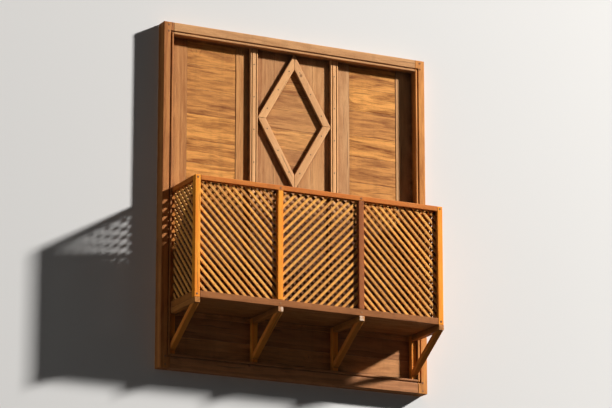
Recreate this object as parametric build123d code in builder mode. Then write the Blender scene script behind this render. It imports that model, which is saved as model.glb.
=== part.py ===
"""Mashrabiya: a timber window casing with three leaves and a bracketed lattice box.

Millimetres. X runs along the wall, Y runs into the wall, Z is up. The origin is at the
middle of the back face, at the level of the box floor.
"""

import math
import os

from build123d import *

# Casing
casing_width = 2200
casing_height = 2615
casing_depth = 100
jamb_face = 80
head_height = 92
bottom_rail_height = 105
floor_above_foot = 470

# Groove that runs round the street face of the casing, a lip's width outside the opening
groove_width = 10
groove_depth = 9
groove_lip = 16

# Leaves
leaf_recess = 63
leaf_thickness = 30
stile_width = 140
board_recess = 3
leaf_board_thickness = 24
mullion_width = 62
mullion_thickness = 24
mullion_spacing = 678
reed_width = 6
reed_depth = 5
reed_edge = 11

# Diamond on the middle leaf
diamond_slope = 60
batten_width = 60
batten_thickness = 24

# Apron below the floor, and the transom that the leaves stand on
transom_height = 90
threshold_rise = 25
apron_thickness = 24

# Lattice box
box_projection = 400
box_height = 880
post_size = 44
top_rail_height = 38
bottom_rail_box_height = 50
floor_thickness = 28
floor_board_count = 3
floor_joint = 3

# Brackets
bearer_height = 40
bearer_proud = 4
wall_post_thickness = 45
strut_width = 38
strut_foot_above_rail = 25
strut_head_setback = 12

# Lattice
lattice_columns = 10
lattice_side_columns = 6
lattice_rows = 13
slat_width = 20
slat_thickness = 11
lattice_setback = 20

# Levels, measured from the top of the floor
foot_level = -floor_above_foot
head_top = casing_height - floor_above_foot
head_bottom = head_top - head_height
rail_top = foot_level + bottom_rail_height
floor_underside = -floor_thickness
bearer_bottom = floor_underside - bearer_height
transom_bottom = threshold_rise - transom_height
lattice_bottom = floor_underside + bottom_rail_box_height
lattice_top = box_height - top_rail_height

# Planes, measured from the wall face
casing_front = -casing_depth
leaf_front = casing_front + leaf_recess
leaf_back = leaf_front + leaf_thickness
board_front = leaf_front + board_recess
box_front = casing_front - box_projection
post_back = box_front + post_size
wall_post_front = leaf_front - wall_post_thickness

# Distances from the middle
clear_half = casing_width / 2 - jamb_face
post_inner = clear_half - post_size
mullion_x = mullion_spacing / 2
bay_width = (2 * post_inner - 2 * post_size) / 3
front_post_x = (bay_width + post_size) / 2
bay_height = lattice_top - lattice_bottom

os.makedirs("parts", exist_ok=True)


def write(part, label):
    """Name a finished piece and write its file."""
    part.label = label
    export_step(part, f"parts/{label}.step")


def timber(x_range, y_range, z_range):
    """A squared timber between two limits on each axis."""
    middle_x = sum(x_range) / 2
    middle_y = sum(y_range) / 2
    with BuildPart() as piece:
        with BuildSketch(Plane.XY.offset(z_range[0])):
            with Locations((middle_x, middle_y)):
                Rectangle(x_range[1] - x_range[0], y_range[1] - y_range[0])
        extrude(amount=z_range[1] - z_range[0])
    return piece.part


def wall_plane(y):
    """A plane parallel to the wall: its X is X, its Y is Z, and it faces the street."""
    return Plane(origin=(0, y, 0), x_dir=(1, 0, 0), z_dir=(0, -1, 0))


def grooved(solid, front, depth, grooves):
    """A timber with straight grooves in its street face. Each groove is an x range and a z range."""
    with BuildPart() as piece:
        add(solid)
        with BuildSketch(wall_plane(front)):
            for x_range, z_range in grooves:
                with Locations((sum(x_range) / 2, sum(z_range) / 2)):
                    Rectangle(x_range[1] - x_range[0], z_range[1] - z_range[0])
        extrude(amount=-depth, mode=Mode.SUBTRACT)
    return piece.part


# Casing: two jambs run full height, with the head and the bottom rail between them
casing_depth_range = (casing_front, 0)
full_height = (foot_level, head_top)
clear_range = (-clear_half, clear_half)
outer_half = casing_width / 2
head_groove = (head_bottom + groove_lip, head_bottom + groove_lip + groove_width)
foot_groove = (rail_top - groove_lip - groove_width, rail_top - groove_lip)
for side, name in ((-1, "left_jamb"), (1, "right_jamb")):
    inner_edge = side * clear_half
    lip_edge = inner_edge + side * groove_lip
    far_edge = lip_edge + side * groove_width
    turn_range = (min(inner_edge, far_edge), max(inner_edge, far_edge))
    upright_range = (min(lip_edge, far_edge), max(lip_edge, far_edge))
    jamb_range = (min(inner_edge, side * outer_half), max(inner_edge, side * outer_half))
    jamb = timber(jamb_range, casing_depth_range, full_height)
    turns = ((turn_range, head_groove), (turn_range, foot_groove), (upright_range, (foot_groove[0], head_groove[1])))
    write(grooved(jamb, casing_front, groove_depth, turns), name)
head = timber(clear_range, casing_depth_range, (head_bottom, head_top))
write(grooved(head, casing_front, groove_depth, ((clear_range, head_groove),)), "head_rail")
foot = timber(clear_range, casing_depth_range, (foot_level, rail_top))
write(grooved(foot, casing_front, groove_depth, ((clear_range, foot_groove),)), "bottom_rail")
write(timber(clear_range, (leaf_front, 0), (transom_bottom, threshold_rise)), "floor_transom")

# Apron panel between the jambs, from the bottom rail up to the floor transom
apron_depth = (leaf_front, leaf_front + apron_thickness)
write(timber(clear_range, apron_depth, (rail_top, transom_bottom)), "apron_boards")

# Leaves
leaf_height = (threshold_rise, head_bottom)


def side_leaf(inner_x, outer_x, name):
    """A leaf with two stiles and boards between them."""
    low_x = min(inner_x, outer_x)
    high_x = max(inner_x, outer_x)
    with BuildPart() as stiles:
        with BuildSketch(Plane.XY.offset(threshold_rise)):
            for x in (low_x + stile_width / 2, high_x - stile_width / 2):
                with Locations((x, leaf_front + leaf_thickness / 2)):
                    Rectangle(stile_width, leaf_thickness)
        extrude(amount=head_bottom - threshold_rise)
    write(stiles.part, f"{name}_stiles")
    board_range = (low_x + stile_width, high_x - stile_width)
    board_depth = (board_front, board_front + leaf_board_thickness)
    write(timber(board_range, board_depth, leaf_height), f"{name}_boards")


side_leaf(-mullion_x, -clear_half, "left_leaf")
side_leaf(mullion_x, clear_half, "right_leaf")

# The diamond touches both cover battens and the head
diamond_half_width = mullion_x - mullion_width / 2
diamond_half_height = diamond_half_width * math.tan(math.radians(diamond_slope))
diamond_level = head_bottom - diamond_half_height
limb_across_x = batten_width / math.sin(math.radians(diamond_slope))
limb_across_z = batten_width / math.cos(math.radians(diamond_slope))
panel_half_width = diamond_half_width - limb_across_x / 2
panel_half_height = diamond_half_height - limb_across_z / 2

with BuildPart() as centre_leaf:
    with BuildSketch(wall_plane(leaf_back)):
        with Locations((0, (threshold_rise + head_bottom) / 2)):
            Rectangle(2 * mullion_x, head_bottom - threshold_rise)
        with BuildLine():
            Polyline(
                (-panel_half_width, diamond_level),
                (0, diamond_level + panel_half_height),
                (panel_half_width, diamond_level),
                (0, diamond_level - panel_half_height),
                close=True,
            )
        make_face(mode=Mode.SUBTRACT)
    extrude(amount=leaf_thickness)
write(centre_leaf.part, "centre_leaf_boards")

with BuildPart() as diamond_panel:
    with BuildSketch(wall_plane(leaf_back)):
        with BuildLine():
            Polyline(
                (-panel_half_width, diamond_level),
                (0, diamond_level + panel_half_height),
                (panel_half_width, diamond_level),
                (0, diamond_level - panel_half_height),
                close=True,
            )
        make_face()
    extrude(amount=leaf_thickness)
write(diamond_panel.part, "diamond_panel")


def diamond_batten(side, end, name):
    """One of the four battens, mitred at both ends of the diamond."""
    with BuildPart() as batten:
        with BuildSketch(wall_plane(leaf_front)):
            with BuildLine():
                Polyline(
                    (side * diamond_half_width, diamond_level),
                    (0, diamond_level + end * diamond_half_height),
                    (0, diamond_level + end * (diamond_half_height - limb_across_z)),
                    (side * (diamond_half_width - limb_across_x), diamond_level),
                    close=True,
                )
            make_face()
        extrude(amount=batten_thickness)
    write(batten.part, name)


diamond_batten(-1, 1, "diamond_batten_upper_left")
diamond_batten(1, 1, "diamond_batten_upper_right")
diamond_batten(-1, -1, "diamond_batten_lower_left")
diamond_batten(1, -1, "diamond_batten_lower_right")

# Cover battens over the two joints between the leaves, with a reed along each edge
mullion_front = leaf_front - mullion_thickness
for side, name in ((-1, "left"), (1, "right")):
    left_edge = side * mullion_x - mullion_width / 2
    right_edge = side * mullion_x + mullion_width / 2
    reeds = (
        ((left_edge + reed_edge, left_edge + reed_edge + reed_width), leaf_height),
        ((right_edge - reed_edge - reed_width, right_edge - reed_edge), leaf_height),
    )
    batten = timber((left_edge, right_edge), (mullion_front, leaf_front), leaf_height)
    write(grooved(batten, mullion_front, reed_depth, reeds), f"{name}_cover_batten")

# Four brackets, one under each post of the box
outer_post_x = clear_half - post_size / 2
bracket_places = (-outer_post_x, -front_post_x, front_post_x, outer_post_x)
bearer_front = box_front - bearer_proud


def strut(x, name):
    """A diagonal from the wall post up to the underside of the bearer."""
    half_width = post_size / 2
    foot = rail_top + strut_foot_above_rail
    nose = bearer_front + strut_head_setback
    rise = bearer_bottom - foot
    run = wall_post_front - nose
    slope = math.atan2(rise, run)
    across_y = strut_width / math.sin(slope)
    across_z = strut_width / math.cos(slope)
    with BuildPart() as piece:
        with BuildSketch(Plane(origin=(x - half_width, 0, 0), x_dir=(0, 1, 0), z_dir=(1, 0, 0))):
            with BuildLine():
                Polyline(
                    (nose, bearer_bottom),
                    (nose + across_y, bearer_bottom),
                    (wall_post_front, foot + across_z),
                    (wall_post_front, foot),
                    close=True,
                )
            make_face()
        extrude(amount=post_size)
    write(piece.part, name)


for number, x in enumerate(bracket_places, start=1):
    across = (x - post_size / 2, x + post_size / 2)
    is_outer = number in (1, len(bracket_places))
    post_top = box_height if is_outer else floor_underside
    write(timber(across, (wall_post_front, leaf_front), (rail_top, post_top)), f"wall_post_{number}")
    write(timber(across, (bearer_front, wall_post_front), (bearer_bottom, floor_underside)), f"bearer_{number}")
    strut(x, f"strut_{number}")

# Floor boards run the length of the box and lie on the bearers
floor_depth = leaf_front - post_back
board_depth_each = (floor_depth - (floor_board_count - 1) * floor_joint) / floor_board_count
with BuildPart() as floor:
    with BuildSketch(Plane.XY.offset(floor_underside)):
        with Locations((0, (post_back + leaf_front) / 2)):
            with GridLocations(0, board_depth_each + floor_joint, 1, floor_board_count):
                Rectangle(2 * post_inner, board_depth_each)
    extrude(amount=floor_thickness)
write(floor.part, "floor_boards")

# Corner posts and the two posts between the bays
corner_depth = (box_front, post_back)
write(timber((-clear_half, -post_inner), corner_depth, (floor_underside, box_height)), "left_corner_post")
write(timber((post_inner, clear_half), corner_depth, (floor_underside, box_height)), "right_corner_post")

with BuildPart() as front_posts:
    with BuildSketch(Plane.XY.offset(lattice_bottom)):
        for x in (-front_post_x, front_post_x):
            with Locations((x, (box_front + post_back) / 2)):
                Rectangle(post_size, post_size)
    extrude(amount=bay_height)
write(front_posts.part, "front_posts")

# Rails between the posts
between_corners = (-post_inner, post_inner)
side_run = (post_back, wall_post_front)
top_rail_range = (lattice_top, box_height)
bottom_rail_range = (floor_underside, lattice_bottom)
left_side = (-clear_half, -post_inner)
right_side = (post_inner, clear_half)
write(timber(between_corners, corner_depth, top_rail_range), "front_top_rail")
write(timber(between_corners, corner_depth, bottom_rail_range), "front_bottom_rail")
write(timber(left_side, side_run, top_rail_range), "left_top_rail")
write(timber(left_side, side_run, bottom_rail_range), "left_bottom_rail")
write(timber(right_side, side_run, top_rail_range), "right_top_rail")
write(timber(right_side, side_run, bottom_rail_range), "right_bottom_rail")


def slats(width, columns, direction):
    """Parallel diagonal slats in the current sketch, cut off at the edges of the bay."""
    column_pitch = width / columns
    row_pitch = bay_height / lattice_rows
    angle = math.degrees(math.atan2(row_pitch, column_pitch))
    slat_count = columns + lattice_rows - 1
    length = 2 * math.hypot(width, bay_height)
    with GridLocations(column_pitch, 0, slat_count, 1):
        Rectangle(length, slat_width, rotation=direction * angle)
    Rectangle(width, bay_height, mode=Mode.INTERSECT)


def lattice(plane, width, columns, direction, name):
    """Two crossing layers of slats in one bay. The plane is the outer face of the outer layer."""
    with BuildPart() as panel:
        with BuildSketch(plane):
            slats(width, columns, direction)
        extrude(amount=-slat_thickness)
        with BuildSketch(plane.offset(-slat_thickness)):
            slats(width, columns, -direction)
        extrude(amount=-slat_thickness, clean=False)
    write(panel.part, name)


bay_level = (lattice_bottom + lattice_top) / 2
front_bays = (("front_left", -1, -1), ("front_centre", 0, 1), ("front_right", 1, -1))
for place, step, direction in front_bays:
    bay_x = step * (bay_width + post_size)
    bay_plane = Plane(
        origin=(bay_x, box_front + lattice_setback, bay_level), x_dir=(1, 0, 0), z_dir=(0, -1, 0)
    )
    lattice(bay_plane, bay_width, lattice_columns, direction, f"lattice_{place}")

side_width = wall_post_front - post_back
side_middle = (wall_post_front + post_back) / 2
for place, side in (("left", -1), ("right", 1)):
    side_plane = Plane(
        origin=(side * (clear_half - lattice_setback), side_middle, bay_level),
        x_dir=(0, side, 0),
        z_dir=(side, 0, 0),
    )
    lattice(side_plane, side_width, lattice_side_columns, side, f"lattice_{place}_side")
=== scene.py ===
# %% [markdown]
# # A mashrabiya: three leaves and a lattice box
#
# A mashrabiya is a timber window that stands out from the upper wall of a house. This one is a casing
# with three tall leaves behind, and in front of their lower half a box of lattice on four brackets. The
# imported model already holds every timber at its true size, so this script only dresses it: it eases
# edges, cuts panels into boards, lays slats one by one, and gives each board its own wood.

# %% Load the frame
import math
import random

import bmesh
import bpy
from mathutils import Matrix, Vector


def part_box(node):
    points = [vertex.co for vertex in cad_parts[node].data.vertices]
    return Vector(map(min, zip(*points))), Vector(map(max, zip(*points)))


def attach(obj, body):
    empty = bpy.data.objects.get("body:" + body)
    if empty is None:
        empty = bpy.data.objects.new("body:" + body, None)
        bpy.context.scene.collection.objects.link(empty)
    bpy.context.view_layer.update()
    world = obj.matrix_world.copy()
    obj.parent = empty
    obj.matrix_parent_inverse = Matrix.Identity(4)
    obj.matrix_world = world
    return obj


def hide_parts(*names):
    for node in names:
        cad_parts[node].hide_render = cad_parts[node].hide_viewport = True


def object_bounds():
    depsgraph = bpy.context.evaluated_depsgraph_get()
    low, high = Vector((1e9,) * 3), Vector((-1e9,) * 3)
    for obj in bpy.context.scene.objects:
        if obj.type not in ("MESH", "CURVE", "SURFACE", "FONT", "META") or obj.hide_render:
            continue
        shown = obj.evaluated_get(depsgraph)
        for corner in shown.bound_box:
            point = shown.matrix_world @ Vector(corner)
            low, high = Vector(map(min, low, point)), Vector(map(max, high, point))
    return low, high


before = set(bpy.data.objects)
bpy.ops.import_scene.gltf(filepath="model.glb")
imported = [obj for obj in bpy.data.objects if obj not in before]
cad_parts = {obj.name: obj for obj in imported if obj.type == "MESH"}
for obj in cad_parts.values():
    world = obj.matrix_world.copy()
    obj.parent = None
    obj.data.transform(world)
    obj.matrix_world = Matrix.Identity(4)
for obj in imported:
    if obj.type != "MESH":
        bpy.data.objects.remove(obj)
cad_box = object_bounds()
X, Y, Z = Vector((1, 0, 0)), Vector((0, 1, 0)), Vector((0, 0, 1))
STREET = -Y
SIDES = ("left", "right")
print("The solids reach from", cad_box[0], "to", cad_box[1])

# %% [markdown]
# ## Picking up a timber from the frame
#
# Real timber never has a knife edge: a plane takes the corner off, and that thin slope catches the
# light. A Bevel modifier could do it, but some of these solids are cut into boards first, so it is done
# in the mesh. A node of the frame comes in as loose triangles. Merging the corners of a copy and
# dissolving its flat faces gives back a clean solid that a bevel can work on.

# %% Take a solid from the frame and ease its edges
SAME_POINT = 0.00002
FLAT = math.radians(1)
CORNER = math.radians(20)


def solid_of(node):
    """A clean copy of a CAD node, with whole faces."""
    solid = bmesh.new()
    solid.from_mesh(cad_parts[node].data)
    bmesh.ops.remove_doubles(solid, verts=solid.verts, dist=SAME_POINT)
    bmesh.ops.dissolve_limit(solid, angle_limit=FLAT, verts=solid.verts, edges=solid.edges)
    return solid


def ease_edges(solid, width, segments=2):
    """Planes a small slope on every corner of a solid."""
    corners = [edge for edge in solid.edges if edge.is_manifold and edge.calc_face_angle(0) > CORNER]
    bmesh.ops.bevel(
        solid, geom=corners, offset=width, offset_type="OFFSET", segments=segments, profile=0.5,
        affect="EDGES", clamp_overlap=True, material=-1,
    )


print("The left jamb has", len(solid_of("left_jamb").faces), "faces")

# %% [markdown]
# ## Cutting a panel into boards
#
# The leaves and the apron are single plates in the frame. On the real thing they are boards laid edge to
# edge. The joints could be drawn as dark lines, but those would catch no light. So each board is a copy
# of the plate cut by two planes, and it keeps every notch, such as the opening round the diamond. A cut
# leaves a hole, which is filled before the edges are eased.

# %% Cut boards out of a plate
HAIR = 0.0001


def keep_between(solid, axis, low, high):
    """Cuts away what lies outside two planes across an axis, and closes the cuts."""
    reach = [vert.co.dot(axis) for vert in solid.verts]
    past_low = low > min(reach) + HAIR
    past_high = high < max(reach) - HAIR
    for level, outward, needed in ((low, -axis, past_low), (high, axis, past_high)):
        if not needed:
            continue
        whole = solid.verts[:] + solid.edges[:] + solid.faces[:]
        cut = bmesh.ops.bisect_plane(
            solid, geom=whole, dist=HAIR / 10, plane_co=axis * level, plane_no=outward, clear_outer=True
        )
        rim = [part for part in cut["geom_cut"] if isinstance(part, bmesh.types.BMEdge)]
        bmesh.ops.edgeloop_fill(solid, edges=rim)
    bmesh.ops.recalc_face_normals(solid, faces=solid.faces)


def board_edges(low, high, count, uneven, chance):
    """Levels of the joints between boards of about the same width, unevenly sawn."""
    widths = [1 + chance.uniform(-uneven, uneven) for _ in range(count)]
    total = sum(widths)
    levels = [low]
    for width in widths:
        levels.append(levels[-1] + (high - low) * width / total)
    return levels


# %% [markdown]
# ## Wood that belongs to each board
#
# Wood is a solid thing: the same rings show as long streaks on a face and as arcs on an end. One pattern
# through the whole object would run on from board to board, which real boards never do. So each board
# carries a vector at every point that says where that point lies in its own tree, along the grain, across
# it and through it, in metres. A second number is the board's own shade. The materials read both.

# %% Lay the grain of every board in a solid
HEART_DEPTH = 0.10
TRUNK = (2, 60)
tree_picker = random.Random(31)


def separate_boards(solid):
    """The groups of points that edges join, in a fixed order."""
    seen = set()
    for first in solid.verts:
        if first in seen:
            continue
        board = [first]
        seen.add(first)
        for vert in board:
            for edge in vert.link_edges:
                other = edge.other_vert(vert)
                if other not in seen:
                    seen.add(other)
                    board.append(other)
        yield board


def lay_grain(solid, along, face, heart=HEART_DEPTH, shades=()):
    """Gives each board of a solid its own place in a tree. The heart lies that far behind its face."""
    chosen = list(shades)
    along = along.normalized()
    across = face.cross(along).normalized()
    through = along.cross(across)
    axes = Matrix((along, across, through))
    grain = solid.verts.layers.float_vector.get("grain") or solid.verts.layers.float_vector.new("grain")
    shade = solid.verts.layers.float.get("shade") or solid.verts.layers.float.new("shade")
    for board in separate_boards(solid):
        places = [axes @ vert.co for vert in board]
        middle = sum(places, Vector()) / len(places)
        start = Vector((tree_picker.uniform(*TRUNK), tree_picker.gauss(0, heart / 2), heart))
        own_shade = tree_picker.random()
        if chosen:
            own_shade = chosen.pop(0)
        for vert, place in zip(board, places):
            vert[grain] = place - middle + start
            vert[shade] = own_shade


# %% [markdown]
# ## Handing over a finished piece
#
# A leaf of eleven boards could be eleven objects, but to whoever uses the model it is one thing, so its
# boards are joined in one mesh. Faces are smooth except across sharp edges, and weighted normals keep
# broad faces flat beside their eased edges. Each piece takes the place of its node in the frame.

# %% Join boards and hand over a piece
SMOOTH_BELOW = math.radians(50)


def new_object(name, data):
    """An object of the scene that shows a mesh, a lamp or a camera."""
    made = bpy.data.objects.new(name, data)
    bpy.context.scene.collection.objects.link(made)
    return made


def new_piece():
    """An empty solid that boards can be added to."""
    piece = bmesh.new()
    piece.verts.layers.float_vector.new("grain")
    piece.verts.layers.float.new("shade")
    return piece


def add_to(piece, board):
    """Adds a board to a piece."""
    scratch = bpy.data.meshes.new("scratch")
    board.to_mesh(scratch)
    board.free()
    piece.from_mesh(scratch)
    bpy.data.meshes.remove(scratch)


def hand_over(name, piece, material, slot, *nodes):
    """Makes the object, gives it its material, and lets it stand for its CAD nodes."""
    mesh = bpy.data.meshes.new(name)
    piece.to_mesh(mesh)
    piece.free()
    mesh.materials.append(material)
    mesh.shade_smooth()
    mesh.set_sharp_from_angle(angle=SMOOTH_BELOW)
    made = new_object(name, mesh)
    shading = made.modifiers.new("even_shading", "WEIGHTED_NORMAL")
    shading.keep_sharp = True
    if nodes:
        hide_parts(*nodes)
    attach(made, "root")
    print(name, "has", len(mesh.polygons), "faces")
    return made


# %% [markdown]
# ## Helpers for node trees
#
# A material is a tree of small sums. It could be wired in the editor, but a long recipe is easier to
# read as text. Most of these helpers add one node, link what is a socket and set what is a number.

# %% Add sums to a tree
def feed(tree, value, socket):
    """Links a socket to a socket, or sets a plain value."""
    if isinstance(value, bpy.types.NodeSocket):
        tree.links.new(value, socket)
    else:
        socket.default_value = value


def feed_all(tree, node, **values):
    """Feeds the inputs of a node by their names."""
    for label, value in values.items():
        feed(tree, value, node.inputs[label])


def calc(tree, operation, *values, clamp=False):
    """One Math node."""
    node = tree.nodes.new("ShaderNodeMath")
    node.operation = operation
    node.use_clamp = clamp
    for value, socket in zip(values, node.inputs):
        feed(tree, value, socket)
    return node.outputs["Value"]


def times(tree, first, second):
    """One number times another."""
    return calc(tree, "MULTIPLY", first, second)


def vector_calc(tree, operation, *values):
    """One Vector Math node. A length or a dot product comes out as a number."""
    node = tree.nodes.new("ShaderNodeVectorMath")
    node.operation = operation
    for value, socket in zip(values, node.inputs):
        feed(tree, value, socket)
    return node.outputs["Value" if operation in ("LENGTH", "DOT_PRODUCT") else "Vector"]


def read(tree, kind, output):
    """One output of a new node that only reads the scene."""
    return tree.nodes.new(f"ShaderNode{kind}").outputs[output]


def stretched(tree, place, along, across):
    """A place counted in grains of noise: so many to the metre along the first axis, and across it."""
    return vector_calc(tree, "MULTIPLY", place, (along, across, across))


def ramp(tree, value, low, high, to_low=0.0, to_high=1.0):
    """A smooth step from one value to another."""
    node = tree.nodes.new("ShaderNodeMapRange")
    node.interpolation_type = "SMOOTHSTEP"
    for number, socket in zip((value, low, high, to_low, to_high), node.inputs):
        feed(tree, number, socket)
    return node.outputs[0]


# %% Add noise and mixed colours
def noise(tree, place, detail=2.0, roughness=0.5, output=0):
    """Noise in three dimensions, with a grain of about one unit."""
    node = tree.nodes.new("ShaderNodeTexNoise")
    feed_all(tree, node, Scale=1, Detail=detail, Roughness=roughness, Vector=place)
    return node.outputs[output]


def noise_along(tree, distance, detail):
    """Noise along one number, such as the distance from the heart of the tree."""
    node = tree.nodes.new("ShaderNodeTexNoise")
    node.noise_dimensions = "1D"
    feed_all(tree, node, Scale=1, Detail=detail, W=distance)
    return node.outputs[0]


def blend(tree, amount, first, second, mode="MIX"):
    """Mixes two colours."""
    node = tree.nodes.new("ShaderNodeMix")
    node.data_type = "RGBA"
    node.blend_type = mode
    node.clamp_result = True
    feed(tree, amount, node.inputs["Factor"])
    colours = [socket for socket in node.inputs if socket.type == "RGBA"]
    feed(tree, first, colours[0])
    feed(tree, second, colours[1])
    return next(socket for socket in node.outputs if socket.type == "RGBA")


# %% Make groups and materials
def new_group(name, inputs, outputs):
    """A shader node group with named sockets. Gives the tree, its inputs and its outputs."""
    group = bpy.data.node_groups.new(name, "ShaderNodeTree")
    kinds = {float: "NodeSocketFloat", tuple: "NodeSocketColor", Vector: "NodeSocketVector"}
    for label, start in inputs.items():
        socket = group.interface.new_socket(label, in_out="INPUT", socket_type=kinds[type(start)])
        socket.default_value = start
    for label, kind in outputs.items():
        group.interface.new_socket(label, in_out="OUTPUT", socket_type=kinds[kind])
    coming = group.nodes.new("NodeGroupInput")
    going = group.nodes.new("NodeGroupOutput")
    return group, coming.outputs, going.inputs


def new_material(name):
    """A material with its tree and its Principled shader."""
    material = bpy.data.materials.new(name)
    material.use_nodes = True
    return material, material.node_tree, material.node_tree.nodes["Principled BSDF"]


def place_group(tree, group, **values):
    """Puts a group in a tree and feeds its inputs by name."""
    node = tree.nodes.new("ShaderNodeGroup")
    node.node_tree = group
    feed_all(tree, node, **values)
    return node.outputs


# %% [markdown]
# ## The figure of the wood
#
# A photograph of wood could be wrapped round each board, but it would break at every corner. Noise in
# three dimensions runs through the whole board instead. Rings are set by the distance from the heart of
# the tree, and two slow noises push that distance about, so that they wander. Colours and amounts are
# inputs of the group, so every timber can use it.

# %% Open the wood group and let the rings wander
wood, wood_in, wood_out = new_group(
    "wood_figure",
    {
        "Place": Vector((0, 0, 0)),
        "Shade": 0.5,
        "Light": (0.6, 0.35, 0.15, 1),
        "Dark": (0.3, 0.14, 0.05, 1),
        "Figure": 0.6,
        "Wander": 0.04,
        "Knots": 0.3,
        "Variety": 0.3,
    },
    {"Color": tuple, "Height": float, "Figure": float},
)
NOISE_MIDDLE = (0.5, 0.5, 0.5)
QUICK_SHARE = (0.2, 0.2, 0.2)
ACROSS_ONLY = (0, 1, 1)

slow = noise(wood, stretched(wood, wood_in["Place"], 1.3, 4.0), detail=2, output="Color")
quick = noise(wood, stretched(wood, wood_in["Place"], 9.0, 18.0), detail=1, output="Color")
slow_push = vector_calc(wood, "SUBTRACT", slow, NOISE_MIDDLE)
quick_push = vector_calc(wood, "SUBTRACT", quick, NOISE_MIDDLE)
small_push = vector_calc(wood, "MULTIPLY", quick_push, QUICK_SHARE)
scaled_push = wood.nodes.new("ShaderNodeVectorMath")
scaled_push.operation = "SCALE"
feed(wood, vector_calc(wood, "ADD", slow_push, small_push), scaled_push.inputs[0])
feed(wood, wood_in["Wander"], scaled_push.inputs["Scale"])
pushed = vector_calc(wood, "ADD", wood_in["Place"], scaled_push.outputs[0])
from_heart = vector_calc(wood, "LENGTH", vector_calc(wood, "MULTIPLY", pushed, ACROSS_ONLY))
print("The wood group takes", [socket.name for socket in wood_in if socket.name])

# %% [markdown]
# ## Knots
#
# A knot is where a branch left the trunk, and the rings flow round it. It could be painted on as a spot,
# but then the figure would run straight through. Here a cell of a Voronoi texture may hold one knot, and
# the distance to it both darkens the wood and pushes the rings aside.

# %% Scatter knots and bend the rings round them
KNOTS_PER_METRE = 3.2
SMALLEST_KNOT = 0.004
KNOT_GROWTH = 0.007
SWIRL_REACH = 0.055
SWIRL_PUSH = 0.016
knot_cells = wood.nodes.new("ShaderNodeTexVoronoi")
knot_cells.voronoi_dimensions = "2D"
feed_all(wood, knot_cells, Scale=KNOTS_PER_METRE, Vector=pushed)
knot_distance = calc(wood, "DIVIDE", knot_cells.outputs["Distance"], KNOTS_PER_METRE)
cell_chance = wood.nodes.new("ShaderNodeSeparateColor")
feed(wood, knot_cells.outputs["Color"], cell_chance.inputs[0])
has_knot = calc(wood, "LESS_THAN", cell_chance.outputs[0], wood_in["Knots"])
knot_radius = calc(wood, "MULTIPLY_ADD", cell_chance.outputs[1], KNOT_GROWTH, SMALLEST_KNOT)
in_radii = calc(wood, "DIVIDE", knot_distance, knot_radius)
knot_core = times(wood, has_knot, ramp(wood, in_radii, 0.6, 1.5, 1.0, 0.0))
bend = ramp(wood, knot_distance, SMALLEST_KNOT, SWIRL_REACH, SWIRL_PUSH, 0.0)
ring_distance = calc(wood, "ADD", from_heart, times(wood, has_knot, bend))
print("The widest knots are", 2 * (SMALLEST_KNOT + KNOT_GROWTH), "metres across")

# %% [markdown]
# ## Bands, rings, fibres and cracks
#
# Real rings are never equal, so a wave would look too regular. A noise of the distance from the heart
# gives bands of several rings, and a finer one the rings themselves. Patches that are long in the grain
# give the flame of oiled boards, and thin fibres, pores and drying cracks lie over them all.

# %% Draw the patterns of the wood
BANDS_PER_METRE = 26.0
RINGS_PER_METRE = 190.0
CRACK_DEPTH = 0.5
bands = noise_along(wood, times(wood, ring_distance, BANDS_PER_METRE), detail=3)
rings = noise_along(wood, times(wood, ring_distance, RINGS_PER_METRE), detail=1)
patches = noise(wood, stretched(wood, pushed, 4.6, 30.0), detail=3, roughness=0.55)
fibres = noise(wood, stretched(wood, pushed, 7.0, 260.0), detail=3, roughness=0.6)
pores = ramp(wood, noise(wood, stretched(wood, pushed, 38.0, 900.0), detail=0), 0.62, 0.72)
dry_lines = ramp(wood, noise(wood, stretched(wood, pushed, 2.2, 75.0), detail=1), 0.70, 0.74)
cracks = times(wood, dry_lines, CRACK_DEPTH)
print("A band is about", round(1000 / BANDS_PER_METRE), "mm wide, a ring", round(1000 / RINGS_PER_METRE))

# %% [markdown]
# ## Colour and relief of the wood
#
# All patterns add up to one share of dark wood, which mixes the light and the dark colour of a finish.
# Each board's own shade then makes it duller and redder, or brighter. The same patterns give a height for
# the bump: fibres and rings stand up, pores and cracks lie deep.

# %% Turn the patterns into colour
SHARES = ((bands, 2.2), (rings, 0.6), (patches, 1.9), (fibres, 0.8))
DARK_SHARE = 0.42
PORE_SHARE = 0.22
KNOT_HEART = (0.035, 0.014, 0.006, 1)
CRACK_COLOUR = (0.03, 0.013, 0.006, 1)
AGED = (0.30, 0.105, 0.05, 1)
streaks = 0.0
for pattern, share in SHARES:
    streaks = calc(wood, "MULTIPLY_ADD", calc(wood, "SUBTRACT", pattern, 0.5), share, streaks)
dark_part = calc(wood, "MULTIPLY_ADD", streaks, wood_in["Figure"], DARK_SHARE, clamp=True)
with_pores = calc(wood, "MULTIPLY_ADD", pores, PORE_SHARE, dark_part, clamp=True)
ground = blend(wood, with_pores, wood_in["Light"], wood_in["Dark"])
knot_colour = blend(wood, 0.72, wood_in["Dark"], KNOT_HEART)
knotted = blend(wood, times(wood, knot_core, 0.8), ground, knot_colour)
cracked = blend(wood, cracks, knotted, CRACK_COLOUR)
dullness = calc(wood, "SUBTRACT", 1.0, wood_in["Shade"])
aged = blend(wood, times(wood, dullness, wood_in["Variety"]), cracked, AGED)
above_middle = calc(wood, "SUBTRACT", wood_in["Shade"], 0.5)
lift = calc(wood, "MULTIPLY_ADD", above_middle, wood_in["Variety"], 1.0)
shaded = wood.nodes.new("ShaderNodeHueSaturation")
hue = calc(wood, "MULTIPLY_ADD", lift, 0.01, 0.49)
feed_all(wood, shaded, Hue=hue, Value=lift, Color=aged)
feed(wood, shaded.outputs[0], wood_out["Color"])
feed(wood, with_pores, wood_out["Figure"])

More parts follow.
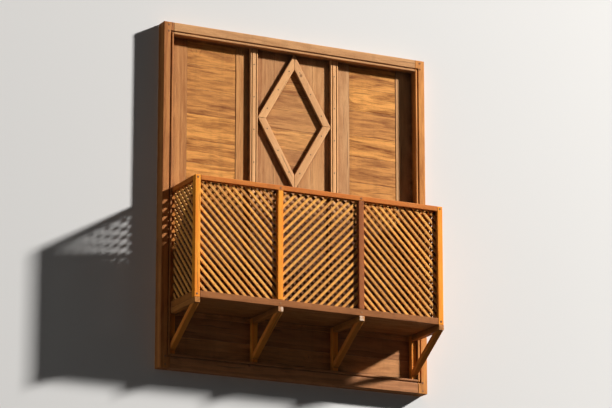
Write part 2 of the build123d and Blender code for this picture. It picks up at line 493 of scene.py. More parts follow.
# %% Turn the patterns into relief
FIBRE_HEIGHT, PORE_DEPTH, RING_HEIGHT, CRACK_HEIGHT = 0.6, 0.5, 0.4, -1.5
fibre_relief = times(wood, fibres, FIBRE_HEIGHT)
pore_relief = calc(wood, "SUBTRACT", fibre_relief, times(wood, pores, PORE_DEPTH))
ring_relief = calc(wood, "MULTIPLY_ADD", rings, RING_HEIGHT, pore_relief)
feed(wood, calc(wood, "MULTIPLY_ADD", cracks, CRACK_HEIGHT, ring_relief), wood_out["Height"])
print("The wood group has", len(wood.nodes), "nodes")

# %% [markdown]
# ## Worn corners with painted highlight
#
# Hands, ropes and rain take the finish off corners first, so a pale line runs along them. The same pale
# line is also a painted highlight, for light catching the edges. It could be painted by hand for each
# timber. This mask finds it: a Bevel node gives a normal as if the edge were round, and where that
# differs from the true normal, a corner is near. Noise breaks the line up.

# %% Build the wear and highlight group
wear_highlight, wear_highlight_in, wear_highlight_out = new_group("corner_wear_and_highlight", {"Width": 0.004, "Amount": 0.6}, {"Mask": float})
rounded = wear_highlight.nodes.new("ShaderNodeBevel")
rounded.samples = 4
feed(wear_highlight, wear_highlight_in["Width"], rounded.inputs["Radius"])
true_normal = read(wear_highlight, "NewGeometry", "Normal")
sameness = vector_calc(wear_highlight, "DOT_PRODUCT", rounded.outputs[0], true_normal)
near_corner = ramp(wear_highlight, sameness, 0.995, 0.90)
wear_highlight_place = read(wear_highlight, "TexCoord", "Object")
patchy = ramp(wear_highlight, noise(wear_highlight, stretched(wear_highlight, wear_highlight_place, 22, 22), detail=4), 0.38, 0.62)
broken_line = times(wear_highlight, near_corner, patchy)
feed(wear_highlight, calc(wear_highlight, "MULTIPLY", broken_line, wear_highlight_in["Amount"], clamp=True), wear_highlight_out["Mask"])
print("The wear group has", len(wear_highlight.nodes), "nodes")

# %% [markdown]
# ## Dust, grime with painted shade, and rain
#
# Dust settles on what faces up. Grime stays in the corners that no rain reaches, and an Ambient Occlusion
# node finds them, because it asks how much of the surroundings a point can see. Those corners are darkened,
# partly for that grime and partly as painted shade, for the shade that falls into corners and beside
# raised parts. Rain leaves long upright runs. Faces against the wall get neither rain nor this darkening,
# so an outdoors mask ends both there.

# %% Build the weather group
weather, weather_in, weather_out = new_group(
    "weather", {"Reach": 0.08}, {"Dust": float, "Grime_and_shade": float, "Streaks": float, "Outdoors": float}
)
place = read(weather, "TexCoord", "Object")
normal = read(weather, "NewGeometry", "Normal")
facing_up = vector_calc(weather, "DOT_PRODUCT", normal, Z)
facing_wall = vector_calc(weather, "DOT_PRODUCT", normal, Y)
outdoors = ramp(weather, facing_wall, 0.5, 0.9, 1.0, 0.0)
feed(weather, outdoors, weather_out["Outdoors"])

clouds = noise(weather, stretched(weather, place, 9, 9), detail=5, roughness=0.6)
flat_enough = ramp(weather, facing_up, 0.4, 0.95)
settled = times(weather, flat_enough, ramp(weather, clouds, 0.3, 0.62))
feed(weather, settled, weather_out["Dust"])

# Closed-in corners are darkened: grime, and painted shade for the shade that falls there.
closed_in = weather.nodes.new("ShaderNodeAmbientOcclusion")
closed_in.samples = 6
feed(weather, weather_in["Reach"], closed_in.inputs["Distance"])
hidden = calc(weather, "SUBTRACT", 1.0, closed_in.outputs["AO"])
soot_and_shade = times(weather, ramp(weather, hidden, 0.10, 0.45), ramp(weather, clouds, 0.15, 0.6))
feed(weather, times(weather, soot_and_shade, outdoors), weather_out["Grime_and_shade"])

RUNS = (17, 17, 0.9)
runs = ramp(weather, noise(weather, vector_calc(weather, "MULTIPLY", place, RUNS), detail=3), 0.5, 0.72)
upright = ramp(weather, calc(weather, "ABSOLUTE", facing_up), 0.5, 0.1)
rained_on = times(weather, runs, upright)
feed(weather, times(weather, rained_on, outdoors), weather_out["Streaks"])
print("Groups:", [group.name for group in bpy.data.node_groups])

# %% [markdown]
# ## Painted shade below the rail, and pale bearer ends
#
# The leaves, their stiles and the battens are painted darker below the rail of the box. This is painted
# shade, for the shadow that the box throws on them. The street ends of the two middle bearers get pale
# blotches, partly pale end grain and partly a painted highlight, for light falling on those ends. Both
# could be materials of their own, but as masks on the same recipe they let the wood run through.

# %% Paint shade below the rail and pale bearer ends
# Pale end grain with painted highlight, for the street ends of the middle bearers.
PALE_END_HIGHLIGHT = (0.80, 0.62, 0.46, 1)
# Painted shade: the colour that darkens the leaves, stiles and battens below the rail of the box.
PAINTED_RAIL_SHADE = (0.13, 0.085, 0.06, 1)
BELOW_RAIL = 0.04
SUN_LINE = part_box("front_top_rail")[1].z - BELOW_RAIL
SUN_BLUR = 0.10


def pale_street_end(tree, place, colour):
    """Pale blotches on the faces that look to the street: pale end grain, with painted highlight."""
    normal = read(tree, "NewGeometry", "Normal")
    on_end = ramp(tree, vector_calc(tree, "DOT_PRODUCT", normal, STREET), 0.9, 0.97)
    blotches = ramp(tree, noise(tree, stretched(tree, place, 30, 30)), 0.42, 0.60, 0.1, 0.85)
    return blend(tree, times(tree, on_end, blotches), colour, PALE_END_HIGHLIGHT)


def shade_below_rail(tree, outdoors, colour):
    """Painted shade: darker wood below the rail of the box, with a soft edge."""
    split = tree.nodes.new("ShaderNodeSeparateXYZ")
    feed(tree, read(tree, "TexCoord", "Object"), split.inputs[0])
    below_rail = ramp(tree, split.outputs["Z"], SUN_LINE + SUN_BLUR, SUN_LINE - SUN_BLUR)
    rail_shade_share = times(tree, below_rail, outdoors)
    return blend(tree, rail_shade_share, colour, PAINTED_RAIL_SHADE, mode="MULTIPLY")


print("The wood stayed dark below", round(SUN_LINE, 3), "metres")

# %% [markdown]
# ## One recipe for every timber
#
# Each finish could be wired by itself, but all are one recipe with other values: the wood group, then the
# rain streaks, the grime with its painted shade, the worn corners with their painted highlight and the
# dust, in the order in which time lays the real marks on. Oiled wood that has stood outside has hardly any
# gloss left, and its dark grain is the roughest.

# %% A function for timber finishes
WORN_AND_HIGHLIGHT = (0.82, 0.50, 0.24, 1)
DUST = (0.58, 0.44, 0.30, 1)
GRIME_AND_SHADE = (0.045, 0.020, 0.010, 1)
DUST_AMOUNT = 0.4
ROUGHNESS, DARK_ADDS, DUST_ADDS = 0.5, 0.25, 0.2
SPECULAR = 0.08
RELIEF = 0.0012
RELIEF_STRENGTH = 0.7


def timber(name, light, dark, figure=0.6, wander=0.04, knots=0.3, variety=0.3, wear_and_highlight=0.55,
           streaks=0.12, grime_and_shade=0.6, pale_end_highlight=False, paint_rail_shade=False):
    """One timber finish, from the colours of its light and its dark wood."""
    material, tree, shader = new_material(name)
    grain = tree.nodes.new("ShaderNodeAttribute")
    grain.attribute_name = "grain"
    shade = tree.nodes.new("ShaderNodeAttribute")
    shade.attribute_name = "shade"
    figured = place_group(
        tree, wood, Place=grain.outputs["Vector"], Shade=shade.outputs["Fac"], Light=(*light, 1),
        Dark=(*dark, 1), Figure=figure, Wander=wander, Knots=knots, Variety=variety,
    )
    weathered = place_group(tree, weather)
    worn_and_highlit = place_group(tree, wear_highlight, Amount=wear_and_highlight)
    colour = figured["Color"]
    if pale_end_highlight:
        colour = pale_street_end(tree, grain.outputs["Vector"], colour)
    # Painted shade below the rail of the box, for the shadow that the box throws.
    if paint_rail_shade:
        colour = shade_below_rail(tree, weathered["Outdoors"], colour)
    colour = blend(tree, times(tree, weathered["Streaks"], streaks), colour, GRIME_AND_SHADE)
    # Grime and painted shade in the corners that the Ambient Occlusion node finds.
    colour = blend(tree, times(tree, weathered["Grime_and_shade"], grime_and_shade), colour, GRIME_AND_SHADE)
    # Worn corners and painted highlight: a pale line along the edges.
    colour = blend(tree, worn_and_highlit["Mask"], colour, WORN_AND_HIGHLIGHT)
    colour = blend(tree, times(tree, weathered["Dust"], DUST_AMOUNT), colour, DUST)
    dry = calc(tree, "MULTIPLY_ADD", figured["Figure"], DARK_ADDS, ROUGHNESS)
    dusty = calc(tree, "MULTIPLY_ADD", weathered["Dust"], DUST_ADDS, dry, clamp=True)
    bump = tree.nodes.new("ShaderNodeBump")
    feed_all(tree, bump, Strength=RELIEF_STRENGTH, Distance=RELIEF, Height=figured["Height"])
    feed_all(tree, shader, Roughness=dusty, Normal=bump.outputs[0])
    feed_all(tree, shader, **{"Base Color": colour, "Specular IOR Level": SPECULAR})
    return material


# %% [markdown]
# ## Finishes of the casing and the leaves
#
# The colours are read from the object: the boards of the leaves are the most orange, the battens, the
# stiles and the head rail are paler and pinker, and the stiles of the right leaf are the palest. The
# casing is a plain warm brown. One finish for all would be simpler, but the leaves would run together.

# %% Mix the finishes of the casing and the leaves
CASING = {"figure": 0.8, "knots": 0.12}
# The stiles take painted shade below the rail, as the boards and battens do.
STILES = {"figure": 0.7, "knots": 0.1, "grime_and_shade": 0.9, "paint_rail_shade": True}
casing_wood = timber("casing_timber", (0.70, 0.275, 0.062), (0.34, 0.105, 0.023), variety=0.35, **CASING)
head_wood = timber("head_rail_timber", (0.66, 0.33, 0.13), (0.38, 0.165, 0.060), variety=0.2, **CASING)
middle_board_wood = timber(
    "middle_leaf_boards", (0.65, 0.32, 0.12), (0.34, 0.127, 0.041), variety=0.2, **STILES
)
left_stile_wood = timber(
    "left_stile_timber", (0.63, 0.285, 0.088), (0.33, 0.112, 0.030), variety=0.1, **STILES
)
right_stile_wood = timber(
    "right_stile_timber", (0.69, 0.365, 0.15), (0.37, 0.15, 0.053), variety=0.1, **STILES
)
board_wood = timber(
    "leaf_boards", (0.78, 0.33, 0.072), (0.22, 0.063, 0.013), figure=1.15, wander=0.05, knots=0.15,
    variety=0.2, paint_rail_shade=True,
)
diamond_wood = timber(
    "diamond_boards", (0.74, 0.34, 0.098), (0.26, 0.088, 0.026), figure=1.0, wander=0.05, knots=0.6,
    variety=0.25,
)
batten_wood = timber(
    "batten_timber", (0.94, 0.52, 0.22), (0.63, 0.27, 0.095), figure=0.5, knots=0.1, variety=0.2,
    paint_rail_shade=True,
)
print("Finishes so far:", len(bpy.data.materials))

# %% [markdown]
# ## Finishes of the box, the brackets and the underside
#
# The box is a strong orange. Its slats are the brightest. The layer behind them is painted much darker:
# painted shade, for the shadow that the outer slats throw on it, which makes the gaps look deep. One
# finish could serve for both layers, but the lattice would look flat. The foot rail and the apron have
# gone brown, and the floor is painted darker still: painted shade, for the shadow under the box.

# %% Mix the finishes of the box, the brackets and the underside
SLATS = {"knots": 0.0, "variety": 0.25}
# Painted shade: the bearers are a darker copy of the bracket wood.
SHADE_PAINTED_BEARER_COLOURS = (0.60, 0.23, 0.05), (0.26, 0.09, 0.022)
box_wood = timber(
    "box_timber", (1.0, 0.315, 0.026), (0.82, 0.183, 0.015), figure=0.7, knots=0.12, variety=0.5
)
foot_rail_wood = timber("box_foot_timber", (0.48, 0.17, 0.038), (0.21, 0.070, 0.015), figure=0.7, knots=0.1)
slat_wood = timber("slat_timber", (1.0, 0.49, 0.11), (0.88, 0.33, 0.052), streaks=0.05, grime_and_shade=0.35, **SLATS)
# Painted shade: the inner layer is a dark copy of the slat wood.
shade_painted_slat_wood = timber("inner_slat_painted_shade", (0.26, 0.092, 0.015), (0.11, 0.034, 0.007), **SLATS)
# Painted light: posts and struts brighter and more orange than their wood, for sun on the struts.
light_painted_bracket_wood = timber("bracket_timber", (1.0, 0.36, 0.05), (0.80, 0.22, 0.028), figure=0.7, knots=0.15)
bearer_wood = timber("bearer_timber", *SHADE_PAINTED_BEARER_COLOURS, figure=0.7, knots=0.1)
# The middle bearers get pale end blotches: pale end grain with painted highlight.
highlit_bearer_wood = timber("pale_bearer_timber", *SHADE_PAINTED_BEARER_COLOURS, figure=0.7, knots=0.1, pale_end_highlight=True)
apron_wood = timber("apron_boards", (0.66, 0.29, 0.10), (0.31, 0.12, 0.04), figure=0.9)
# Painted shade: the floor is darker than its wood, for the shadow under the box.
shade_painted_floor_wood = timber("floor_boards_painted_shade", (0.38, 0.15, 0.04), (0.16, 0.055, 0.015), figure=0.9)
shaded_rail_wood = timber("foot_timber", (0.72, 0.31, 0.11), (0.33, 0.13, 0.045), figure=0.8, knots=0.12)
peg_wood = timber("peg_wood", (0.42, 0.18, 0.07), (0.20, 0.08, 0.03), figure=0.5, knots=0.0, wear_and_highlight=0.3)
print("Timber finishes:", [material.name for material in bpy.data.materials])

# %% [markdown]
# ## Iron nails
#
# Hand-forged nail heads are dark and a little rough, and brown where rust has begun. Plain grey would
# look new. One noise drives colour, metal and roughness, because rust is brown, rough and no metal.

# %% The nail finish
BARE_IRON = (0.05, 0.045, 0.04, 1)
RUST = (0.17, 0.065, 0.025, 1)
RUST_GRAINS = 140
nail_iron, iron_tree, iron = new_material("nail_iron")
iron_place = read(iron_tree, "TexCoord", "Object")
rust_noise = noise(iron_tree, stretched(iron_tree, iron_place, RUST_GRAINS, RUST_GRAINS), detail=4)
rust = ramp(iron_tree, rust_noise, 0.42, 0.62)
feed(iron_tree, blend(iron_tree, rust, BARE_IRON, RUST), iron.inputs["Base Color"])
feed(iron_tree, calc(iron_tree, "MULTIPLY_ADD", rust, -0.6, 0.75), iron.inputs["Metallic"])
feed(iron_tree, calc(iron_tree, "MULTIPLY_ADD", rust, 0.35, 0.42), iron.inputs["Roughness"])
print("Made", nail_iron.name)

# %% [markdown]
# ## Casing
#
# Two jambs run the full height, with the head, the transom and the foot rail between them. They could be
# built anew from boxes, but the frame's solids have their grooves already, so eased edges are all that
# they need. The grain runs the long way.

# %% Make the casing
EASE = 0.004


def timber_piece(name, node, material, slot, along, face, ease=EASE, shades=()):
    """A squared timber taken from the frame, with eased edges and its own grain."""
    solid = solid_of(node)
    ease_edges(solid, ease)
    lay_grain(solid, along, face, shades=shades)
    return hand_over(name, solid, material, slot, node)


for side, shade in zip(SIDES, (0.25, 0.85)):
    timber_piece(f"{side}_jamb_timber", f"{side}_jamb", casing_wood, "frame_wood", Z, STREET, shades=[shade])
timber_piece("head_timber", "head_rail", head_wood, "frame_wood", X, STREET)
timber_piece("foot_timber", "bottom_rail", shaded_rail_wood, "shaded_wood", X, STREET)
timber_piece("transom_timber", "floor_transom", shaded_rail_wood, "frame_wood", X, STREET)

# %% [markdown]
# ## Leaves and apron
#
# The side leaves have upright stiles with boards lying flat between them. The middle leaf has upright
# boards with an opening for the diamond, and inside the diamond the boards lie flat again. The joints
# between boards are V grooves. A wide gap would let daylight through, so the boards lie a tenth of a
# millimetre apart and their edges are eased.

# %% Cut the leaves and the apron into boards
JOINT = 0.0001
V_EASE = 0.0022
UNEVEN = 0.12
sawyer = random.Random(12)


def boarded_panel(name, node, material, slot, joints_across, along, count, uneven=UNEVEN):
    """A plate of the frame cut into boards that lie edge to edge."""
    low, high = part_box(node)
    levels = board_edges(low.dot(joints_across), high.dot(joints_across), count, uneven, sawyer)
    panel = new_piece()
    for lower, upper in zip(levels, levels[1:]):
        board = solid_of(node)
        keep_between(board, joints_across, lower + JOINT / 2, upper - JOINT / 2)
        ease_edges(board, V_EASE)
        lay_grain(board, along, STREET)
        add_to(panel, board)
    return hand_over(name, panel, material, slot, node)


LEAF_BOARDS = 11
MIDDLE_BOARDS = 4
DIAMOND_BOARDS = 7
APRON_BOARDS = 2
for side in SIDES:
    boarded_panel(f"{side}_leaf_planks", f"{side}_leaf_boards", board_wood, "leaf_wood", Z, X, LEAF_BOARDS)
boarded_panel(
    "middle_leaf_planks", "centre_leaf_boards", middle_board_wood, "leaf_wood", X, Z, MIDDLE_BOARDS,
    uneven=0.05,
)
boarded_panel("diamond_planks", "diamond_panel", diamond_wood, "leaf_wood", Z, X, DIAMOND_BOARDS)
boarded_panel("apron_planks", "apron_boards", apron_wood, "shaded_wood", Z, X, APRON_BOARDS, uneven=0.08)
for side, stile_wood in zip(SIDES, (left_stile_wood, right_stile_wood)):
    timber_piece(f"{side}_leaf_frame", f"{side}_leaf_stiles", stile_wood, "leaf_wood", Z, STREET, V_EASE)

# %% [markdown]
# ## Battens
#
# Two cover battens hide the joints between the leaves. The four limbs of the diamond lie at sixty
# degrees. Upright grain would cut each limb into short slanting streaks, so the direction of the grain is
# worked out from the slope of the limb.

# %% Make the battens
DIAMOND_SLOPE = math.radians(60)
LIMB_RISE = {"upper_left": 1, "upper_right": -1, "lower_left": -1, "lower_right": 1}
for side in SIDES:
    timber_piece(f"{side}_cover_strip", f"{side}_cover_batten", batten_wood, "frame_wood", Z, STREET)
for limb, rise in LIMB_RISE.items():
    slope = Vector((math.cos(DIAMOND_SLOPE), 0, rise * math.sin(DIAMOND_SLOPE)))
    timber_piece(f"diamond_limb_{limb}", f"diamond_batten_{limb}", batten_wood, "frame_wood", slope, STREET)

# %% [markdown]
# ## Brackets
#
# Each bracket has a wall post, a bearer and a strut. The posts and struts share a finish painted brighter
# and more orange than their wood: painted light, for the sun on the struts. The bearers are painted
# darker: painted shade, for the shadow under the box. The bearer's end faces the street. Its end grain
# could be a finish of its own, but it shows by itself, because the wood is solid. The strut's grain
# follows its slope.

# %% Make the brackets
BRACKETS = (1, 2, 3, 4)
# These bearers get the pale ends, partly end grain and partly painted highlight.
HIGHLIT_BRACKETS = (2, 3)
for number in BRACKETS:
    timber_piece(f"wall_post_timber_{number}", f"wall_post_{number}", light_painted_bracket_wood, "shaded_wood", Z, STREET)
    end_wood = highlit_bearer_wood if number in HIGHLIT_BRACKETS else bearer_wood
    timber_piece(f"bearer_timber_{number}", f"bearer_{number}", end_wood, "shaded_wood", Y, -Z)
    low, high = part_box(f"strut_{number}")
    lean = Vector((0, low.y - high.y, high.z - low.z))
    timber_piece(f"strut_timber_{number}", f"strut_{number}", light_painted_bracket_wood, "shaded_wood", lean, X)

# %% [markdown]
# ## The box
#
# Posts and rails frame the lattice on three sides, and three boards make the floor. The shade of a post
# could be left to chance, as a board's is, but here it is chosen: one of the front posts is an older
# timber, duller and redder than the others.

# %% Make the posts, rails and floor
FRESH, MIDDLING, OLD = 0.95, 0.3, -0.2
for side in SIDES:
    timber_piece(
        f"{side}_corner_timber", f"{side}_corner_post", box_wood, "frame_wood", Z, STREET, shades=[FRESH]
    )
timber_piece("front_post_timbers", "front_posts", box_wood, "frame_wood", Z, STREET, shades=[OLD, FRESH])
timber_piece("front_top_timber", "front_top_rail", box_wood, "frame_wood", X, STREET, shades=[MIDDLING])
timber_piece("front_foot_timber", "front_bottom_rail", foot_rail_wood, "frame_wood", X, STREET)
for side in SIDES:
    timber_piece(f"{side}_top_timber", f"{side}_top_rail", box_wood, "frame_wood", Y, X, shades=[MIDDLING])
    timber_piece(f"{side}_foot_timber", f"{side}_bottom_rail", foot_rail_wood, "frame_wood", Y, X)
timber_piece("floor_planks", "floor_boards", shade_painted_floor_wood, "shaded_wood", X, Z, V_EASE)

# %% [markdown]
# ## Lattice
#
# Each bay has two layers of slats that cross, nailed to each other. One slat could be repeated with Array
# modifiers, but then every slat would have the same wood. So each is made by itself: it starts as a long
# cube, its edges are eased, it is turned to its slope and cut off at the four sides of the bay.

# %% Lay slats in a bay
SLAT_WIDTH = 0.020
SLAT_EASE = 0.0015
SLAT_HEART = 0.06
HAND_SLIP = 0.0008
ROWS = 13
OUTER, INNER = 0, 1
hand = random.Random(5)


def middle_of(node):
    """The middle of the box round a node."""
    low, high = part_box(node)
    return (low + high) / 2


def bay_shape(bay, right, outward):
    """The middle, the width, the height and the depth of a bay."""
    low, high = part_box(f"lattice_{bay}")
    span = high - low
    return middle_of(f"lattice_{bay}"), abs(span.dot(right)), span.z, abs(span.dot(outward))


def slat(centre, along, outward, length, thickness):
    """One slat with eased edges, with its middle at a point."""
    across = outward.cross(along)
    bar = bmesh.new()
    bmesh.ops.create_cube(bar, size=1)
    bmesh.ops.scale(bar, vec=(length, SLAT_WIDTH, thickness), verts=bar.verts)
    ease_edges(bar, SLAT_EASE, segments=1)
    turn = Matrix((along, across, outward)).transposed().to_4x4()
    bmesh.ops.transform(bar, matrix=Matrix.Translation(centre) @ turn, verts=bar.verts)
    return bar


def lattice_piece(bay, right, outward, columns, direction):
    """Both layers of slats in one bay. The outer layer rises to the right where the direction is 1."""
    low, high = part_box(f"lattice_{bay}")
    middle, width, height, depth = bay_shape(bay, right, outward)
    angle = math.atan2(height / ROWS, width / columns)
    left, right_end = sorted((low.dot(right), high.dot(right)))
    panel = new_piece()
    for layer, slope in ((1, direction), (-1, -direction)):
        along = right * math.cos(angle) + Z * slope * math.sin(angle)
        for step in range(columns + ROWS - 1):
            offset = (step - (columns + ROWS - 2) / 2) * width / columns
            offset += hand.uniform(-HAND_SLIP, HAND_SLIP)
            centre = middle + right * offset + outward * layer * depth / 4
            bar = slat(centre, along, outward, 2 * (width + height), depth / 2)
            keep_between(bar, right, left, right_end)
            keep_between(bar, Z, low.z, high.z)
            lay_grain(bar, along, outward, heart=SLAT_HEART)
            for face in bar.faces:
                face.material_index = OUTER if layer == 1 else INNER
            add_to(panel, bar)
    made = hand_over(f"slats_{bay}", panel, slat_wood, "lattice_wood", f"lattice_{bay}")
    # The inner layer takes the darker finish with painted shade.
    made.data.materials.append(shade_painted_slat_wood)


# %% Fill the five bays
FRONT_COLUMNS = 10
SIDE_COLUMNS = 6
BAYS = {
    "front_left": (X, STREET, FRONT_COLUMNS, -1),
    "front_centre": (X, STREET, FRONT_COLUMNS, 1),
    "front_right": (X, STREET, FRONT_COLUMNS, -1),
    "left_side": (-Y, -X, SIDE_COLUMNS, -1),
    "right_side": (Y, X, SIDE_COLUMNS, 1),
}
for bay, (right, outward, columns, direction) in BAYS.items():
    lattice_piece(bay, right, outward, columns, direction)

# %% [markdown]
# ## Nails
#
# Slats are nailed where they cross, battens along their middle, and the floor over each bearer. A bump
# could fake a nail, but a real head throws a small shadow. Each is a low dome, cut from a small sphere.
# There are over a thousand, so each has few faces.

# %% Shape a nail head
NAIL_SIDES = 8
NAIL_RINGS = 4
BURIED_SHARE = 0.1
NAIL_FLATNESS = 0.55


def dome(radius):
    """A low nail head that sits on the ground plane."""
    buried = radius * BURIED_SHARE
    head = bmesh.new()
    bmesh.ops.create_uvsphere(head, u_segments=NAIL_SIDES, v_segments=NAIL_RINGS, radius=radius)
    whole = head.verts[:] + head.edges[:] + head.faces[:]
    bmesh.ops.bisect_plane(
        head, geom=whole, dist=HAIR / 100, plane_co=(0, 0, buried), plane_no=-Z, clear_outer=True
    )
    bmesh.ops.edgeloop_fill(head, edges=[edge for edge in head.edges if edge.is_boundary])
    bmesh.ops.translate(head, vec=(0, 0, -buried), verts=head.verts)
    bmesh.ops.scale(head, vec=(1, 1, NAIL_FLATNESS), verts=head.verts)
    bmesh.ops.recalc_face_normals(head, faces=head.faces)
    return head


print("A nail head has", len(dome(1).faces), "faces")

# %% Set small shapes on faces
SMALL_HEART = 0.01


def set_on_faces(name, small, places, material, slot):
    """Copies of a small shape at many places. A place is a point and the direction that it looks in."""
    piece = new_piece()
    for point, outward in places:
        copy = small.copy()
        turn = outward.to_track_quat("Z", "Y").to_matrix().to_4x4()
        bmesh.ops.transform(copy, matrix=Matrix.Translation(point) @ turn, verts=copy.verts)
        lay_grain(copy, outward, outward.orthogonal(), heart=SMALL_HEART)
        add_to(piece, copy)
    small.free()
    return hand_over(name, piece, material, slot)


# %% Nail the slats where they cross
SLAT_NAIL_RADIUS = 0.0032


def crossings(bay, right, outward, columns):
    """The points on the outer face of a bay where its slats cross, away from its edges."""
    middle, width, height, depth = bay_shape(bay, right, outward)
    pitch = width / columns
    slope = (height / ROWS) / pitch
    count = columns + ROWS - 1
    for first in range(count):
        for second in range(count):
            across = (first + second - count + 1) / 2 * pitch
            up = slope * (second - first) / 2 * pitch
            if abs(across) < width / 2 - SLAT_WIDTH / 2 and abs(up) < height / 2 - SLAT_WIDTH / 2:
                yield middle + right * across + Z * up + outward * depth / 2, outward


for bay, (right, outward, columns, _) in BAYS.items():
    places = crossings(bay, right, outward, columns)
    set_on_faces(f"nails_{bay}", dome(SLAT_NAIL_RADIUS), places, nail_iron, "lattice_wood")

# %% Nail the battens
NAIL_RADIUS = 0.005
BATTEN_NAIL_PITCH = 0.26
LIMB_NAIL_PITCH = BATTEN_NAIL_PITCH / 1.5


def nail_line(start, end, pitch):
    """Points from near one end of a line to near the other, evenly spaced."""
    steps = max(1, round((end - start).length / pitch))
    return [(start.lerp(end, (step + 0.5) / steps), STREET) for step in range(steps)]


def limb_ends(limb):
    """The two ends of the middle line of a limb's front face."""
    shape = solid_of(f"diamond_batten_{limb}")
    front = min(vert.co.y for vert in shape.verts)
    corners = [vert.co.copy() for vert in shape.verts if vert.co.y < front + HAIR]
    shape.free()
    middle = sum(corners, Vector()) / len(corners)
    outermost = sorted(corners, key=lambda corner: -abs(corner.x))[:2]
    side_end = sum(outermost, Vector()) / 2
    return side_end, middle * 2 - side_end


batten_nails = []
for side in SIDES:
    low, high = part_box(f"{side}_cover_batten")
    centre = middle_of(f"{side}_cover_batten").x
    foot, top = Vector((centre, low.y, low.z)), Vector((centre, low.y, high.z))
    batten_nails += nail_line(foot, top, BATTEN_NAIL_PITCH)
for limb in LIMB_RISE:
    batten_nails += nail_line(*limb_ends(limb), LIMB_NAIL_PITCH)
set_on_faces("nails_battens", dome(NAIL_RADIUS), batten_nails, nail_iron, "frame_wood")

# %% Nail the floor over its bearers
FLOOR_BOARDS = 3
NAIL_SHARES = (0.25, 0.75)
NAIL_TO_EDGE = 0.02
floor_low, floor_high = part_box("floor_boards")
board_depth = (floor_high.y - floor_low.y) / FLOOR_BOARDS
floor_nails = []
for number in BRACKETS:
    centre = max(middle_of(f"bearer_{number}").x, floor_low.x + NAIL_TO_EDGE)
    centre = min(centre, floor_high.x - NAIL_TO_EDGE)
    for board in range(FLOOR_BOARDS):
        for share in NAIL_SHARES:
            depth = floor_low.y + (board + share) * board_depth
            floor_nails.append((Vector((centre, depth, floor_high.z)), Z))
set_on_faces("nails_floor", dome(NAIL_RADIUS), floor_nails, nail_iron, "shaded_wood")

# %% [markdown]
# ## Pegs
#
# The big joints of the casing and the box are pegged: a round dowel goes through the tenon, and its end
# stands a little proud. A plain cylinder would do, but the rim of a real dowel is worn, so it is eased.

# %% Peg the joints of the casing and the box
PEG_RADIUS = 0.008
PEG_PROUD = 0.0015
PEG_SIDES = 16
PEG_TO_EDGE = 0.022


def peg():
    """The end of a dowel, with an eased rim."""
    end = bmesh.new()
    bmesh.ops.create_cone(
        end, cap_ends=True, segments=PEG_SIDES, radius1=PEG_RADIUS, radius2=PEG_RADIUS, depth=2 * PEG_PROUD
    )
    rim = [edge for edge in end.edges if all(vert.co.z > 0 for vert in edge.verts)]
    bmesh.ops.bevel(
        end, geom=rim, offset=PEG_PROUD / 2, offset_type="OFFSET", segments=2, profile=0.5, affect="EDGES",
        material=-1,
    )
    return end


pegs = []
for jamb in ("left_jamb", "right_jamb"):
    for rail in ("head_rail", "bottom_rail"):
        low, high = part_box(rail)
        for level in (low.z + PEG_TO_EDGE, high.z - PEG_TO_EDGE):
            pegs.append((Vector((middle_of(jamb).x, low.y, level)), STREET))
for upright in ("left_corner_post", "right_corner_post", "bearer_2", "bearer_3"):
    on_face = upright if upright.endswith("post") else "front_top_rail"
    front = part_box(on_face)[0].y
    for rail in ("front_top_rail", "front_bottom_rail"):
        pegs.append((Vector((middle_of(upright).x, front, middle_of(rail).z)), STREET))
set_on_faces("joint_pegs", peg(), pegs, peg_wood, "frame_wood")

# %% [markdown]
# ## Stage
#
# The casing is fixed to a wall, so a plain pale wall stands behind it and a plain pale floor lies below.
# An ordinary wall would hide and darken the back of the casing. So only rays that look for a background
# meet these sheets, and only on their front side. Every other ray goes through.

# %% A paint that only a look meets
def looking_rays(tree):
    """One for rays from the camera, off a glossy surface or through glass."""
    rays = tree.nodes.new("ShaderNodeLightPath").outputs
    seen = calc(tree, "MAXIMUM", rays["Is Camera Ray"], rays["Is Glossy Ray"])
    return calc(tree, "MAXIMUM", seen, rays["Is Transmission Ray"])


PLASTER = (0.74, 0.72, 0.69, 1)
stage_paint, stage_tree, paint = new_material("stage_paint")
feed_all(stage_tree, paint, **{"Base Color": PLASTER, "Roughness": 0.9, "Specular IOR Level": 0.1})
clear = stage_tree.nodes.new("ShaderNodeBsdfTransparent")
from_behind = read(stage_tree, "NewGeometry", "Backfacing")
seen_in_front = calc(stage_tree, "SUBTRACT", looking_rays(stage_tree), from_behind, clamp=True)
shown = stage_tree.nodes.new("ShaderNodeMixShader")
for coming, socket in zip((seen_in_front, clear.outputs[0], paint.outputs[0]), shown.inputs):
    feed(stage_tree, coming, socket)
feed(stage_tree, shown.outputs[0], stage_tree.nodes["Material Output"].inputs["Surface"])
print("Made", stage_paint.name)

# %% Make the wall and the floor
HALF = 30.0
FLOOR_DROP = 0.9
WALL_GAP = 0.001
floor_level = cad_box[0].z - FLOOR_DROP
wall_y = cad_box[1].y + WALL_GAP


def stage_sheet(name, corners):
    """A flat sheet of the stage. Its corners run anticlockwise as its front side is seen."""
    sheet = bmesh.new()
    sheet.faces.new([sheet.verts.new(corner) for corner in corners])
    mesh = bpy.data.meshes.new(name)
    sheet.to_mesh(mesh)
    sheet.free()
    mesh.materials.append(stage_paint)
    made = new_object(name, mesh)


left_foot, right_foot = (-HALF, wall_y, floor_level), (HALF, wall_y, floor_level)
left_front, right_front = (-HALF, -HALF, floor_level), (HALF, -HALF, floor_level)
left_top, right_top = (-HALF, wall_y, HALF), (HALF, wall_y, HALF)
stage_sheet("stage_floor", [left_front, right_front, right_foot, left_foot])
stage_sheet("stage_wall", [left_foot, right_foot, right_top, left_top])
print("The floor lies at", round(floor_level, 3), "metres")

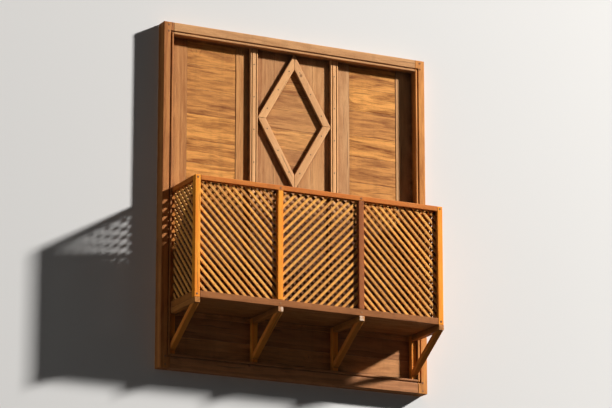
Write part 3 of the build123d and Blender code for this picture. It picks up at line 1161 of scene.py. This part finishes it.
# %% [markdown]
# ## Light
#
# The real light is the sun, high on the right, so the shadows are sharp and fall to the left and down. A
# Sun lamp could give it. An area lamp far away does the same, and its size sets how soft a shadow's edge
# is. Two weak lamps soften the left side and light the back. The world is white where a background is
# seen and nearly dark for the timber, so that a colour renders about as it is written.

# %% Set the lamps and the world
AMBIENT = 0.03
TARGET = (cad_box[0] + cad_box[1]) / 2


def soft_lamp(name, direction, distance, size, power):
    """A square lamp that looks at the middle of the object."""
    light = bpy.data.lights.new(name, "AREA")
    light.size = size
    light.energy = power
    lamp = new_object(name, light)
    away = Vector(direction).normalized()
    lamp.location = TARGET + away * distance
    lamp.rotation_mode = "QUATERNION"
    lamp.rotation_quaternion = away.to_track_quat("Z", "Y")
    print(name, "has", power, "watts at", distance, "metres")


soft_lamp("key_lamp", direction=(0.80, -0.40, 0.46), distance=40, size=2.4, power=37000)
soft_lamp("fill_lamp", direction=(-1.0, -0.12, -0.15), distance=10, size=6, power=120)
soft_lamp("back_lamp", direction=(0.2, 1.0, 0.3), distance=10, size=5, power=480)

world = bpy.data.worlds.new("studio")
world.use_nodes = True
bpy.context.scene.world = world
sky = world.node_tree
lit = sky.nodes["Background"]
lit.inputs["Color"].default_value = (1, 1, 1, 1)
sky_strength = calc(sky, "MULTIPLY_ADD", looking_rays(sky), 1 - AMBIENT, AMBIENT)
feed(sky, sky_strength, lit.inputs["Strength"])

# %% [markdown]
# ## Camera
#
# The place of the camera was measured from the photograph: it stands 23 metres away, to the left of the
# window and well below it. A near camera with a wide lens would make the box look too deep, so it stays
# there and a long lens brings the window close.

# %% Place the camera
CAMERA_PLACE = Vector((-10.218, -20.305, -5.193))
LENS = 185
SENSOR = 36
camera_data = bpy.data.cameras.new("camera")
camera_data.sensor_fit = "HORIZONTAL"
camera_data.sensor_width = SENSOR
camera_data.lens = LENS
camera_data.clip_start = 0.1
camera_data.clip_end = 200
camera = new_object("camera", camera_data)
camera.location = CAMERA_PLACE
camera.rotation_mode = "QUATERNION"
camera.rotation_quaternion = (CAMERA_PLACE - TARGET).to_track_quat("Z", "Y")
bpy.context.scene.camera = camera
bpy.context.scene.view_settings.view_transform = "Standard"
print("The camera stands", round((CAMERA_PLACE - TARGET).length, 2), "metres away")
